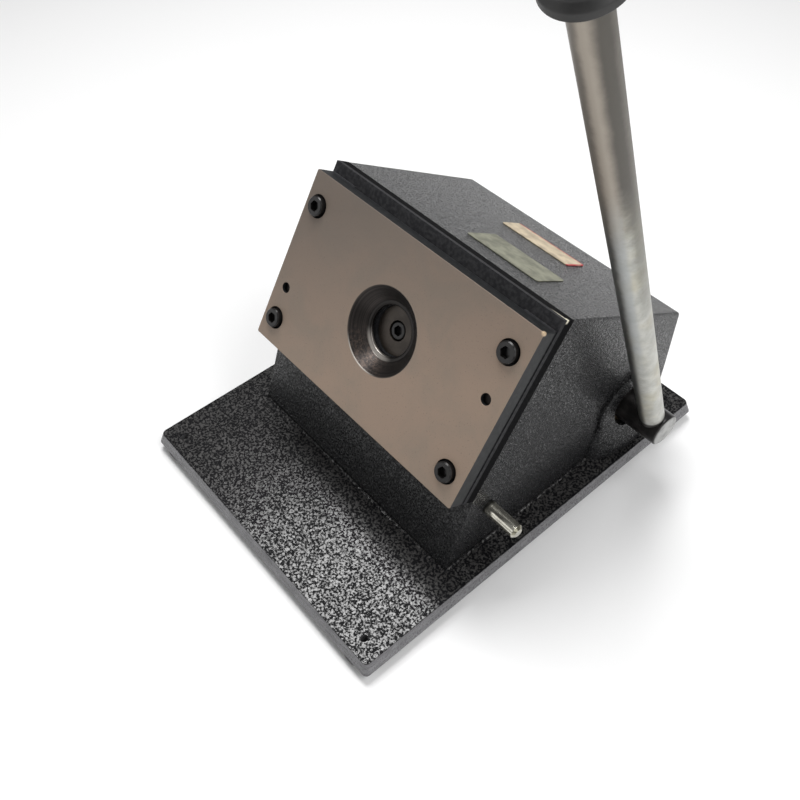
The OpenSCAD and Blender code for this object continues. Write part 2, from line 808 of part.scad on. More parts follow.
module shaft_bush_left() {
    color([0.72, 0.52, 0.25])
    difference() {
        on_shaft(shaft_left_face, left_bush_end, left_bush_r);
        on_shaft(shaft_left_face - cut, left_bush_end + cut, shaft_core_r + shaft_clear);
    }
}

module eccentric() {
    color([0.45, 0.45, 0.47])
    difference() {
        at_key() translate([-ecc_w / 2, ecc_throw, 0]) rotate([0, 90, 0]) cylinder(h = ecc_w, r = ecc_r);
        on_shaft(die_x - ecc_w, die_x + ecc_w, shaft_core_r);
        at_key() translate([-key_len / 2 - cut, shaft_core_r - key_h / 2, -key_w / 2])
            cube([key_len + 2 * cut, key_h, key_w]);
        at_key() rotate([-90, 0, 0]) cylinder(h = ecc_throw + ecc_r + cut, r = grub_r);
    }
}

module eccentric_key() {
    color([0.5, 0.5, 0.52])
    at_key() translate([-key_len / 2, shaft_core_r - key_h / 2, -key_w / 2]) cube([key_len, key_h, key_w]);
}

module eccentric_grub_screw() {
    top = ecc_throw + ecc_r - grub_sunk;
    color([0.2, 0.2, 0.21])
    at_key() translate([0, top, 0]) rotate([-90, 0, 0]) grub_screw(grub_r, top - shaft_core_r - key_h / 2);
}

module shaft_collar() {
    color([0.5, 0.5, 0.52])
    difference() {
        on_shaft(collar_at, collar_at + collar_w, collar_r);
        on_shaft(collar_at - cut, collar_at + collar_w + cut, shaft_core_r);
        at_collar_screw() translate([0, 0, -collar_r]) cylinder(h = 2 * collar_r, r = grub_r);
        cross_bar(collar_at + collar_w - spring_hook - spring_gap, collar_at + collar_w + cut,
            shaft_yz.x, shaft_yz.y + spring_mid_r, spring_wire_r);
    }
}

module at_collar_screw() {
    translate([collar_at + collar_w / 2, shaft_yz.x - collar_r, shaft_yz.y]) rotate([90, 0, 0]) children();
}

module collar_grub_screw() {
    color([0.2, 0.2, 0.21])
    at_collar_screw() grub_screw(grub_r, collar_r - shaft_core_r);
}

module thrust_washer() {
    color([0.72, 0.52, 0.25])
    difference() {
        on_shaft(shaft_left_face - washer_t, shaft_left_face, washer_r);
        on_shaft(shaft_left_face - washer_t - cut, shaft_left_face + cut, shaft_core_r + shaft_clear);
    }
}

module retaining_ring() {
    color([0.3, 0.3, 0.31])
    difference() {
        on_shaft(ring_at, ring_at + ring_t, ring_r);
        on_shaft(ring_at - cut, ring_at + ring_t + cut, shaft_core_r - ring_groove);
        translate([ring_at - cut, shaft_yz.x - key_w / 2, shaft_yz.y - ring_r - cut])
            cube([ring_t + 2 * cut, key_w, ring_r]);
    }
}

// Torsion spring: a closed coil with a hook into the collar and a leg down to the base
module return_spring() {
    leg_x = spring_at + spring_len - 2 * spring_wire_r;
    color([0.25, 0.25, 0.26]) {
        difference() {
            on_shaft(spring_at, spring_at + spring_len, spring_bore_r + 2 * spring_wire_r);
            on_shaft(spring_at - cut, spring_at + spring_len + cut, spring_bore_r);
        }
        cross_bar(spring_at - spring_gap - spring_hook, spring_at + spring_wire_r,
            shaft_yz.x, shaft_yz.y + spring_mid_r, spring_end_r);
        translate([leg_x, shaft_yz.x, shaft_yz.y - spring_mid_r])
            rotate([90 + atan2(spring_leg_drop, spring_leg_run), 0, 0])
            cylinder(h = norm([spring_leg_run, spring_leg_drop]) - spring_wire_r, r = spring_end_r);
    }
}

// Along the lever, with z = 0 on the shaft's axis
module on_lever_axis() {
    translate([shaft_right - lever_in, shaft_yz.x, shaft_yz.y]) rotate([lever_lean, 0, 0]) children();
}

module lever_rod() {
    color([0.52, 0.53, 0.52])
    on_lever_axis() translate([0, 0, -lever_bite]) cylinder(h = lever_bite + lever_bare + rod_in_grip, r = lever_r);
}

module lever_grip() {
    waist = grip_len * 0.3;
    dome = 10;
    dome_step = 1;
    lip = 2;
    lip_h = 3;
    color([0.06, 0.06, 0.06])
    on_lever_axis() translate([0, 0, lever_bare]) difference() {
        rotate_extrude() polygon(concat(
            [[0, 0], [grip_neck_r + lip, 0], [grip_neck_r + lip, lip_h], [grip_neck_r, lip_h + lip]],
            [[grip_r, waist], [grip_r, grip_len - dome]],
            [for (a = [0 : 10 : 90]) [(grip_r - dome_step) * cos(a), grip_len - dome + dome * sin(a)]]
        ));
        translate([0, 0, -cut]) cylinder(h = rod_in_grip + cut, r = lever_r);
    }
}

module stop_pin() {
    dome = 1.6;
    inner = housing_right - stop_grip + stop_floor;
    outer = housing_right + stop_out;
    color([0.72, 0.72, 0.72]) {
        cross_bar(inner, outer - dome, stop_yz.x, stop_yz.y, stop_r);
        translate([outer - dome, stop_yz.x, stop_yz.y]) rotate([0, 90, 0])
            cylinder(h = dome, r1 = stop_r, r2 = stop_r - dome);
    }
}

// A thin plate on the sloping top, down the slope from the housing's upper edge
module on_top_slope(down) {
    translate([0, face_high.x, face_high.y]) rotate([top_slope, 0, 0]) translate([0, down, 0]) children();
}

module name_plate_upper() {
    color([0.86, 0.8, 0.68])
    on_top_slope(tag_a_down) translate([tag_a_right - tag_a_w, 0, 0]) cube([tag_a_w, tag_a_len, tag_t]);
}

module name_plate_lower() {
    color([0.5, 0.5, 0.42])
    on_top_slope(tag_b_down) translate([tag_b_right - tag_b_w, 0, 0]) cube([tag_b_w, tag_b_len, tag_t]);
}

base_plate();
rubber_feet();
housing();
housing_screws();
die_plate();
slot_spacers();
stripper_plate();
guide_plate();
plate_screws();
dowel_pins();
ram_bush();
punch();
punch_screw();
ram();
ram_yoke();
yoke_screws();
cross_shaft();
shaft_bush_right();
shaft_bush_left();
eccentric();
eccentric_key();
eccentric_grub_screw();
shaft_collar();
collar_grub_screw();
thrust_washer();
retaining_ring();
return_spring();
lever_rod();
lever_grip();
stop_pin();
name_plate_upper();
name_plate_lower();
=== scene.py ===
"""Looks of a badge circle cutter: a hand-lever punch press on a flat base plate."""

import json
import math

import bmesh
import bpy
from mathutils import Matrix, Quaternion, Vector


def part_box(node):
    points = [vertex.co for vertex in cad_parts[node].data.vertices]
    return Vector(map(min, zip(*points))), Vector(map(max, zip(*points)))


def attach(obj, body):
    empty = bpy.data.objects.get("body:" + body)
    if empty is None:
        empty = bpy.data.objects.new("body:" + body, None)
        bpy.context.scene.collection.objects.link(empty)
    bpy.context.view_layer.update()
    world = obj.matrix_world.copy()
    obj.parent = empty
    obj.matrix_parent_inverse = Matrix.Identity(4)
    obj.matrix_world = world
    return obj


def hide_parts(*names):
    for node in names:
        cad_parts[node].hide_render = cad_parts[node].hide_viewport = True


MM = 0.001
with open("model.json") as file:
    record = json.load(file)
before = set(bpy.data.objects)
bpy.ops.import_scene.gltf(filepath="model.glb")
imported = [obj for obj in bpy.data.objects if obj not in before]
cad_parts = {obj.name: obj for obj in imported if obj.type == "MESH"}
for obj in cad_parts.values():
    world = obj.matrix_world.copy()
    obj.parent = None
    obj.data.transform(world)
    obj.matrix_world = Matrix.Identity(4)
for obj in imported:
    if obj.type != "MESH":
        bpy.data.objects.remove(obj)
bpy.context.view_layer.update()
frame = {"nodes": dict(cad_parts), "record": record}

BODY_OF = {node: body for body, nodes in frame["record"]["behaviour"]["bodies"].items() for node in nodes}
SLOT_OF = {row["node"]: row["material_slot"] for row in frame["record"]["subparts"]}
JOINTS = {joint["name"]: joint for joint in frame["record"]["behaviour"]["joints"]}

# The inclined plates, from the front to the back, and the funnel in the first
DIE_T = 9.3 * MM
SLOT_T = 2.3 * MM
STRIPPER_T = 2.8 * MM
GUIDE_T = 6.1 * MM
GUIDE_DEPTH = DIE_T + SLOT_T + STRIPPER_T
FUNNEL_R = 23.9 * MM
FUNNEL_FLOOR_R = 16 * MM
FUNNEL_DEPTH = 7.3 * MM
HOLE_R = 13.65 * MM
HOLE_MOUTH_R = 1.3 * MM
# Where the funnel's painted glints sit, as a direction from its axis in the plates' frame
LOW_LEFT = (-0.33, -0.944)

# The plates' frame: X to the right, Y up the slope, Z out towards the user
PLATE_OUT = Vector(JOINTS["ram_slide"]["axis"]).normalized()
PLATE_TURN = math.atan2(-PLATE_OUT.y, PLATE_OUT.z)
die_low, die_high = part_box("die_plate")
PLATE_ORIGIN = (die_low + die_high) / 2 + PLATE_OUT * DIE_T / 2

# The shaft's axis and radius, and the lever that leans forward from it
SHAFT = Vector(JOINTS["lever_swing"]["pos_m"])
SHAFT_R = 10 * MM
LEVER_LEAN = math.radians(22.5)
LEVER_R = 7 * MM
# The side of the lever that faces right in the photograph, in the lever's own frame, which orders its
# painted light and shade
LEVER_RIGHT = (0.66, 0.75)
# The share of the grip's length below its ribs, the ribs, and the bare length above them
GRIP_WAIST = 0.3
RIB_R = 0.8 * MM
RIB_PITCH = 6 * MM
GRIP_END = 14 * MM

# How far the boss on the left stands out
BOSS_LEFT_PROUD = 2.5 * MM

# How far the stop pin stands out of the casting, and its radius
PIN_OUT = 22.2 * MM
PIN_R = 4.2 * MM

# The base plate's top face: its height, width and depth
BASE_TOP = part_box("base_plate")[1].z
BASE_W = 200 * MM
BASE_D = 262 * MM

# The bare plates on the sloping top: their thickness and the radius of their corners
TAG_T = 0.4 * MM
TAG_CORNER_R = 1.6 * MM

# Painted shade: black in the valleys of the enamel
PAINTED_VALLEY_SHADE = (0.003, 0.003, 0.004)

# Camera, solved from the photograph's own edges
EYE = Vector((252.7, -228.2, 437.9)) * MM
LOOK_AZIMUTH = math.radians(50.66)
LOOK_DOWN = math.radians(50.09)
ROLL = math.radians(1.77)
FOCAL = 39.18
SENSOR = 36


def make_camera():
    """The camera stands at the photograph's place and angle."""
    look = Vector((
        -math.sin(LOOK_AZIMUTH) * math.cos(LOOK_DOWN),
        math.cos(LOOK_AZIMUTH) * math.cos(LOOK_DOWN),
        -math.sin(LOOK_DOWN),
    ))
    data = bpy.data.cameras.new("camera")
    data.lens = FOCAL
    data.sensor_width = SENSOR
    data.clip_start = 10 * MM
    data.clip_end = 20
    camera = bpy.data.objects.new("camera", data)
    bpy.context.scene.collection.objects.link(camera)
    camera.rotation_mode = "QUATERNION"
    camera.location = EYE
    camera.rotation_quaternion = Quaternion(look, ROLL) @ look.to_track_quat("-Z", "Y")
    bpy.context.scene.camera = camera


make_camera()


class Wire:
    """A number socket that takes part in Python arithmetic, one Math node for each step."""

    def __init__(self, graph, socket):
        self.graph = graph
        self.socket = socket

    def math(self, operation, *values, clamp=False):
        return self.graph.node(
            "ShaderNodeMath", "Value", {"operation": operation, "use_clamp": clamp}, *((self,) + values))

    def __add__(self, other):
        return self.math("ADD", other)

    def __radd__(self, other):
        return self.math("ADD", other)

    def __sub__(self, other):
        return self.math("SUBTRACT", other)

    def __rsub__(self, other):
        return self.graph.node("ShaderNodeMath", "Value", {"operation": "SUBTRACT"}, other, self)

    def __mul__(self, other):
        return self.math("MULTIPLY", other)

    def __rmul__(self, other):
        return self.math("MULTIPLY", other)

    def __truediv__(self, other):
        return self.math("DIVIDE", other)

    def __pow__(self, other):
        return self.math("POWER", other)

    def __abs__(self):
        return self.math("ABSOLUTE")

    def clamped(self):
        return self.math("ADD", 0.0, clamp=True)

    def most(self, other):
        return self.math("MAXIMUM", other)

    def step(self, low, high):
        """0 below low, 1 above high, and a smooth rise between them."""
        return self.graph.node(
            "ShaderNodeMapRange", "Result", {"interpolation_type": "SMOOTHSTEP"},
            **{"Value": self, "From Min": low, "From Max": high})

    def fall(self, low, high):
        """1 below low, 0 above high, and a smooth fall between them."""
        return 1 - self.step(low, high)


class Graph:
    """The node tree of one material."""

    def __init__(self, name):
        self.material = bpy.data.materials.new(name)
        self.material.use_nodes = True
        self.tree = self.material.node_tree
        self.shader = self.tree.nodes["Principled BSDF"]
        self.place = self.node("ShaderNodeTexCoord", "Object")

    def node(self, kind, output, settings=None, *values, **inputs):
        """Adds a node, with its settings first and then its sockets, and gives one output."""
        made = self.tree.nodes.new(kind)
        for key, value in (settings or {}).items():
            setattr(made, key, value)
        for key, value in list(enumerate(values)) + list(inputs.items()):
            self.feed(made.inputs[key], value)
        return Wire(self, made.outputs[output])

    def feed(self, socket, value):
        """Links a wire to a socket, or sets the socket to a constant."""
        if isinstance(value, Wire):
            self.tree.links.new(value.socket, socket)
        elif socket.type == "RGBA" and len(value) == 3:
            socket.default_value = (*value, 1.0)
        else:
            socket.default_value = value

    def set(self, **inputs):
        """Feeds the surface shader. Words in a socket's name are joined by underscores."""
        for key, value in inputs.items():
            self.feed(self.shader.inputs[key.replace("_", " ")], value)
        return self.material

    def local(self, origin, turn):
        """Coordinates in a frame at origin, turned about X."""
        return self.node(
            "ShaderNodeMapping", "Vector", {"vector_type": "TEXTURE"},
            Vector=self.place, Location=origin, Rotation=(turn, 0, 0))

    def stretched(self, scale, place=None):
        """Coordinates scaled by a factor on each axis."""
        return self.node("ShaderNodeMapping", "Vector", None, Vector=place or self.place, Scale=scale)

    def parts(self, vector):
        """X, Y and Z of a vector."""
        split = self.node("ShaderNodeSeparateXYZ", "X", None, vector).socket.node
        return [Wire(self, split.outputs[axis]) for axis in "XYZ"]

    def noise(self, size, detail=3.0, rough=0.5, distort=0.0, place=None):
        """Cloudy noise whose lumps are about size metres."""
        return self.node(
            "ShaderNodeTexNoise", "Fac", {"noise_dimensions": "3D"},
            Vector=place or self.place, Scale=1 / size, Detail=detail, Roughness=rough, Distortion=distort)

    def warped(self, size, amount):
        """Object coordinates pushed about by noise."""
        push = self.node(
            "ShaderNodeTexNoise", "Color", {"noise_dimensions": "3D"}, Vector=self.place, Scale=1 / size)
        push = self.node(
            "ShaderNodeVectorMath", "Vector", {"operation": "SUBTRACT"}, push, (0.5, 0.5, 0.5))
        push = self.node(
            "ShaderNodeVectorMath", "Vector", {"operation": "SCALE"}, push, Scale=amount)
        return self.node("ShaderNodeVectorMath", "Vector", {"operation": "ADD"}, self.place, push)

    def mix(self, share, first, second):
        """Colour that goes from first to second as share goes from 0 to 1."""
        made = self.tree.nodes.new("ShaderNodeMix")
        made.data_type = "RGBA"
        self.feed(made.inputs["Factor"], share)
        self.feed(made.inputs[6], first)
        self.feed(made.inputs[7], second)
        return Wire(self, made.outputs[2])

    def bump(self, height, depth):
        """A normal from a height, where height 1 stands depth metres proud."""
        return self.node("ShaderNodeBump", "Normal", None, Height=height, Distance=depth)


def span(a, b):
    """The length of a step that goes a one way and b across it."""
    return (a * a + b * b) ** 0.5


def upper_right(node_name, thickness):
    """The upper right corner of an inclined plate, as X and Y in the plates' frame."""
    low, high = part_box(node_name)
    up = Vector((0, math.cos(PLATE_TURN), math.sin(PLATE_TURN)))
    half = ((high.z - low.z) - thickness * abs(PLATE_OUT.z)) / (2 * abs(up.z))
    return high.x - PLATE_ORIGIN.x, ((low + high) / 2 - PLATE_ORIGIN).dot(up) + half


def pebbled(g, size):
    """Height of hammered enamel: flat-topped lumps about size metres apart, with valleys between them."""
    place = g.warped(size * 0.9, size * 0.9)
    edge = g.node(
        "ShaderNodeTexVoronoi", "Distance", {"voronoi_dimensions": "3D", "feature": "DISTANCE_TO_EDGE"},
        Vector=place, Scale=1 / size)
    swell = g.noise(size * 0.5, 2.0, 0.5, 0.3)
    return (edge * 0.9 + (swell - 0.5) * 1.5).step(-0.02, 0.3)


def black_base():
    """Coarse black hammered enamel on the top with painted shade in its valleys, and smooth sides painted
    grey with a streaked reflection, below a dark line.
    """
    g = Graph("black_base")
    x, y, z = g.parts(g.place)
    tops = pebbled(g, 2.4 * MM)
    swell = g.noise(2.2 * MM, 2.0)
    drift = g.noise(40 * MM, 2.0)
    patchy = g.noise(4 * MM, 2.0)
    edge = (abs(x) - BASE_W / 2).most(abs(y) - BASE_D / 2)
    side = (BASE_TOP - z).step(0.5 * MM, 0.7 * MM)
    rim = edge.step(-0.9 * MM, -0.5 * MM) * (1 - side)
    lumps = g.mix(patchy, (0.030, 0.029, 0.029), (0.075, 0.073, 0.071))
    # Painted shade: the valleys between the lumps are black
    enamel = g.mix(tops, PAINTED_VALLEY_SHADE, lumps)
    enamel = g.mix(rim * 0.85, enamel, (0.004, 0.004, 0.005))
    # Painted reflection: the sides are painted grey as a reflection of the pale floor, with streaks
    streaks = g.noise(5 * MM, 4.0, 0.6, 0.5, g.stretched((0.5, 0.5, 3)))
    painted_side_reflection = g.mix(streaks.step(0.3, 0.7), (0.225, 0.223, 0.23), (0.145, 0.144, 0.149))
    return g.set(
        Base_Color=g.mix(side, enamel, painted_side_reflection),
        Metallic=side * 0.35,
        Roughness=(0.5 - tops * 0.32 + drift * 0.1).clamped(),
        Specular_IOR_Level=0.1,
        Coat_Weight=tops * (1 - side) * (0.3 + patchy),
        Coat_Roughness=0.2,
        Normal=g.bump((tops + swell * 0.5) * (1 - side), 0.34 * MM),
    )


def black_housing():
    """The casting's finer hammered enamel."""
    g = Graph("black_housing")
    tops = pebbled(g, 1.8 * MM)
    swell = g.noise(2.6 * MM, 2.0)
    fine = g.noise(0.5 * MM, 2.0)
    speckle = g.noise(1.1 * MM, 2.0, 0.6)
    lumps = g.mix(speckle.step(0.4, 0.65), (0.008, 0.008, 0.009), (0.044, 0.044, 0.045))
    # Painted shade: the valleys between the lumps are black
    return g.set(
        Base_Color=g.mix(tops, PAINTED_VALLEY_SHADE, lumps),
        Roughness=(0.26 - tops * 0.1 + fine * 0.08).clamped(),
        Specular_IOR_Level=0.3,
        Coat_Weight=(tops * (speckle * 2.4 - 0.75)).clamped(),
        Coat_Roughness=0.22,
        Normal=g.bump(tops * 0.8 + swell * 1.4 + speckle * 0.9, 0.55 * MM),
    )


def ground_plate():
    """Tarnished ground face with painted shade towards its upper left, blued edges, a chipped corner, and a
    dark turned funnel with rust and painted highlights on its lower left.
    """
    g = Graph("ground_plate")
    place = g.local(PLATE_ORIGIN, PLATE_TURN)
    x, up, out = g.parts(place)
    reach = span(x, up)

    # Face, with painted shade that darkens it towards its upper left
    clouds = g.noise(26 * MM, 4.0, 0.6, 0.6)
    fine = g.noise(2.2 * MM, 3.0, 0.6)
    specks = g.noise(0.7 * MM, 1.0)
    face = out.step(-0.35 * MM, -0.12 * MM)
    slope = (x * 0.5 - up * 0.9) / (90 * MM)
    warm = g.mix(clouds.step(0.35, 0.7), (0.300, 0.222, 0.168), (0.262, 0.206, 0.160))
    # Painted shade towards the upper left of the face
    warm = g.mix((0.3 - slope).clamped() * 0.8, warm, (0.125, 0.104, 0.088))
    warm = g.mix(specks.step(0.66, 0.74) * 0.35, warm, (0.10, 0.075, 0.06))
    blued = g.mix(fine.step(0.35, 0.75), (0.009, 0.010, 0.011), (0.024, 0.025, 0.027))

    # Funnel, with painted highlights on its lower left
    hollow = reach.fall(FUNNEL_R - 0.4 * MM, FUNNEL_R - 0.1 * MM) * (1 - face)
    rim = reach.fall(FUNNEL_R + 0.05 * MM, FUNNEL_R + 0.25 * MM) * out.step(-0.45 * MM, -0.25 * MM)
    low_left = (x * LOW_LEFT[0] + up * LOW_LEFT[1]) / reach
    round_axis = g.node("ShaderNodeCombineXYZ", "Vector", None, reach / (1.3 * MM), 0.0, 0.0)
    rings = g.noise(1.0, 3.0, 0.6, 0.0, round_axis)
    stain = g.noise(1.8 * MM, 4.0, 0.65, 0.4)
    turned = g.mix(rings.step(0.35, 0.7), (0.020, 0.017, 0.016), (0.050, 0.043, 0.040))
    # Rust-coloured specks on the lower left only, partly rust and partly painted glints
    rust_and_glint_specks = stain.step(0.42, 0.68) * low_left.step(0.55, 0.97)
    turned = g.mix(rust_and_glint_specks * 0.55, turned, (0.12, 0.088, 0.072))
    lip = reach.fall(FUNNEL_FLOOR_R + 0.1 * MM, FUNNEL_FLOOR_R + 0.5 * MM)
    # Painted highlights on the lower left of the lip and of the rim
    lip_painted_highlight = g.mix(low_left.step(0.6, 1.0), (0.018, 0.016, 0.015), (0.26, 0.24, 0.22))
    rim_painted_highlight = g.mix(low_left.step(0.75, 1.0), (0.05, 0.042, 0.036), (0.42, 0.39, 0.35))
    turned = g.mix(lip, turned, lip_painted_highlight)
    colour = g.mix(face, blued, warm)
    colour = g.mix(hollow, colour, turned)
    colour = g.mix(rim, colour, rim_painted_highlight)

    # Bare metal on the chipped upper right corner
    corner_x, corner_up = upper_right("die_plate", DIE_T)
    chip = span(x - corner_x, up - corner_up).fall(1.0 * MM, 2.2 * MM) * out.step(-2.5 * MM, -1.5 * MM)
    colour = g.mix(chip, colour, (0.62, 0.47, 0.31))
    lines = g.noise(3 * MM, 3.0, 0.7, 0.0, g.stretched((1, 14, 14), place))
    return g.set(
        Base_Color=colour,
        Metallic=0.35 + hollow * 0.45,
        Roughness=(0.52 - hollow * 0.2 + fine * 0.08).clamped(),
        Normal=g.bump(lines * face + (rings * 0.6 + stain) * hollow, 0.03 * MM),
    )


def blackened_plate():
    """Dark stripper steel and, behind it, the almost black guide plate, worn bare at its upper right."""
    g = Graph("blackened_plate")
    x, up, out = g.parts(g.local(PLATE_ORIGIN, PLATE_TURN))
    guide_face = out + GUIDE_DEPTH
    guide = guide_face.fall(-0.1 * MM, 0.1 * MM)
    fine = g.noise(2 * MM, 3.0)
    steel = g.mix(fine.step(0.35, 0.7), (0.024, 0.024, 0.026), (0.042, 0.042, 0.044))
    corner_x, corner_up = upper_right("guide_plate", GUIDE_T)
    ridge = (up - corner_up).step(-0.9 * MM, -0.3 * MM) * abs(guide_face).fall(0.5 * MM, 1.0 * MM)
    ridge = ridge * (x - corner_x).step(-12 * MM, -2 * MM) * fine.step(0.2, 0.5)
    chip = span(x - corner_x, up - corner_up).fall(1.2 * MM, 2.4 * MM)
    chip = chip * abs(guide_face).fall(1.2 * MM, 2.0 * MM)
    bare = (ridge + chip).clamped() * guide
    blackened = g.mix(guide, steel, (0.002, 0.002, 0.0025))
    return g.set(
        Base_Color=g.mix(bare, blackened, (0.78, 0.74, 0.60)),
        Roughness=(0.42 + fine * 0.2 + guide * 0.15).clamped(),
        Specular_IOR_Level=0.04,
        Normal=g.bump(fine, 0.03 * MM),
    )


def plain_metal(name, colour, rough, metal=1.0, grain=0.02 * MM, dark=0.62):
    """Even metal with a faint cloudiness."""
    g = Graph(name)
    cloud = g.noise(12 * MM, 4.0, 0.6)
    fine = g.noise(0.8 * MM, 2.0)
    darker = tuple(c * dark for c in colour)
    return g.set(
        Base_Color=g.mix(cloud.step(0.35, 0.7), colour, darker),
        Metallic=metal,
        Roughness=(rough + cloud * 0.12).clamped(),
        Normal=g.bump(fine, grain),
    )


def lever_steel():
    """Zinc-grey rod, weathered in blotches, with painted shade down one flank and on its right side, a
    painted sheen, painted light and shade on its upper part, and dark where it enters the shaft.
    """
    g = Graph("lever_steel")
    x, y, z = g.parts(g.local(SHAFT, LEVER_LEAN))
    blotch = g.noise(9 * MM, 5.0, 0.62)
    tint = g.noise(16 * MM, 3.0)
    fine = g.noise(1.6 * MM, 3.0, 0.6)
    right = (x * LEVER_RIGHT[0] + y * LEVER_RIGHT[1]) / LEVER_R + (blotch - 0.5) * 0.35
    high = (z + blotch * 20 * MM).step(190 * MM, 240 * MM)
    grey = g.mix(blotch.step(0.3, 0.7), (0.56, 0.56, 0.52), (0.40, 0.40, 0.37))
    grey = g.mix(tint.step(0.45, 0.7) * 0.35, grey, (0.50, 0.45, 0.29))
    grey = g.mix(fine.step(0.5, 0.8) * 0.25, grey, (0.30, 0.25, 0.16))
    # Painted shade on the right side of the middle of the lever
    right_painted_shade = right.step(0.05, 0.6) * (z / (200 * MM)).step(0.5, 0.95)
    grey = g.mix(right_painted_shade * 0.7, grey, (0.15, 0.145, 0.12))
    # The upper part takes painted light and shade in worn: lighter on its left, darker on its right, with a
    # lighter painted rim on the right
    worn = g.mix(right.step(-0.35, 0.25), (0.40, 0.355, 0.30), (0.10, 0.092, 0.080))
    worn = g.mix(right.step(0.6, 0.9) * 0.5, worn, (0.22, 0.20, 0.17))
    # Painted shade down the left flank, on the upper part and, near black, on the lower part
    flank = right.fall(-0.85, -0.5)
    worn = g.mix(flank * 0.7, worn, (0.10, 0.09, 0.08))
    # A bluish painted sheen on the left half of the middle part, inside the flank
    painted_sheen = right.fall(-0.2, 0.1) * (1 - flank) * z.step(70 * MM, 110 * MM)
    grey = g.mix(painted_sheen * 0.6, grey, (0.40, 0.42, 0.43))
    root = (z + blotch * 2 * MM).fall(SHAFT_R + 2 * MM, SHAFT_R + 3.5 * MM)
    grey = g.mix(high, g.mix(flank * 0.85, grey, (0.035, 0.036, 0.038)), worn)
    return g.set(
        Base_Color=g.mix(root * 0.9, grey, (0.012, 0.011, 0.011)),
        Metallic=0.5,
        Roughness=(0.34 + fine * 0.16).clamped(),
        Normal=g.bump(blotch * 0.4 + fine * 0.4, 0.03 * MM),
    )


def polished_pin():
    """Bright ground pin, with a painted shadow where it leaves the casting and a painted dark reflection on
    the upper edge of its tip.
    """
    g = Graph("polished_pin")
    low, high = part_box("stop_pin")
    middle = (low + high) / 2
    x, y, z = g.parts(g.place)
    across = span(y - middle.y, z - middle.z)
    cloud = g.noise(5 * MM, 3.0)
    # Painted shadow: a dark collar where the pin leaves the casting
    root = (x + cloud * 2 * MM).fall(high.x - PIN_OUT + 2 * MM, high.x - PIN_OUT + 4 * MM)
    tip = x.step(high.x - 1.7 * MM, high.x - 1.4 * MM)
    # Painted dark reflection on the upper edge of the tip's chamfer
    chamfer_dark_reflection = tip * (z - middle.z).step(0, 1.5 * MM) * across.step(PIN_R - 1.8 * MM, PIN_R - 1.4 * MM)
    steel = g.mix(cloud.step(0.4, 0.7), (0.66, 0.64, 0.56), (0.50, 0.48, 0.42))
    steel = g.mix(root * 0.95, steel, (0.012, 0.012, 0.011))
    steel = g.mix(chamfer_dark_reflection * 0.8, steel, (0.16, 0.15, 0.10))
    return g.set(
        Base_Color=steel,
        Metallic=0.9,
        Roughness=(0.16 + root * 0.3).clamped(),
        Normal=g.bump(g.noise(0.8 * MM, 2.0), 0.008 * MM),
    )


def oiled_shaft():
    """Dark oily turned bar, ground pale on its right end."""
    g = Graph("oiled_shaft")
    x = g.parts(g.place)[0]
    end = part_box("cross_shaft")[1].x
    pale = x.step(end - 0.5 * MM, end - 0.2 * MM)
    oil = g.noise(6 * MM, 4.0, 0.6)
    turned = g.noise(1.2 * MM, 2.0, 0.5, 0.0, g.stretched((6, 0.4, 0.4)))
    dark = g.mix(oil.step(0.4, 0.7), (0.010, 0.009, 0.009), (0.030, 0.027, 0.026))
    ground = g.mix(oil.step(0.35, 0.7), (0.34, 0.34, 0.33), (0.17, 0.17, 0.165))
    return g.set(
        Base_Color=g.mix(pale, dark, ground),
        Metallic=0.4,
        Roughness=(0.28 + oil * 0.15).clamped(),
        Normal=g.bump(turned, 0.02 * MM),
    )


def rubber(name, rough):
    """Black rubber or plastic with a little dust on it."""
    g = Graph(name)
    fine = g.noise(0.6 * MM, 2.0)
    dust = g.noise(10 * MM, 3.0)
    return g.set(
        Base_Color=g.mix(dust.step(0.4, 0.8), (0.018, 0.018, 0.018), (0.035, 0.034, 0.033)),
        Roughness=(rough + dust * 0.2).clamped(),
        Normal=g.bump(fine, 0.05 * MM),
    )


def tag(name, node_name, colour, faded, border=None):
    """A blank plate on the sloping top, with a coloured line along its far edge and right end."""
    g = Graph(name)
    low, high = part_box(node_name)
    slope = -math.atan2(high.z - low.z, high.y - low.y)
    x, down = g.parts(g.local((high.x, high.y, low.z), slope))[:2]
    worn = g.noise(7 * MM, 4.0, 0.6)
    fine = g.noise(1 * MM, 3.0)
    paint_colour = g.mix((worn + fine * 0.2).step(0.45, 0.8), colour, faded)
    if border:
        line = (-1.6 * MM, -1.1 * MM)
        near_edge = x.step(*line).most(down.step(*line))
        paint_colour = g.mix(near_edge * worn.step(0.2, 0.5), paint_colour, border)
    return g.set(
        Base_Color=paint_colour,
        Roughness=(0.38 + worn * 0.2).clamped(),
        Normal=g.bump(fine, 0.03 * MM),
    )


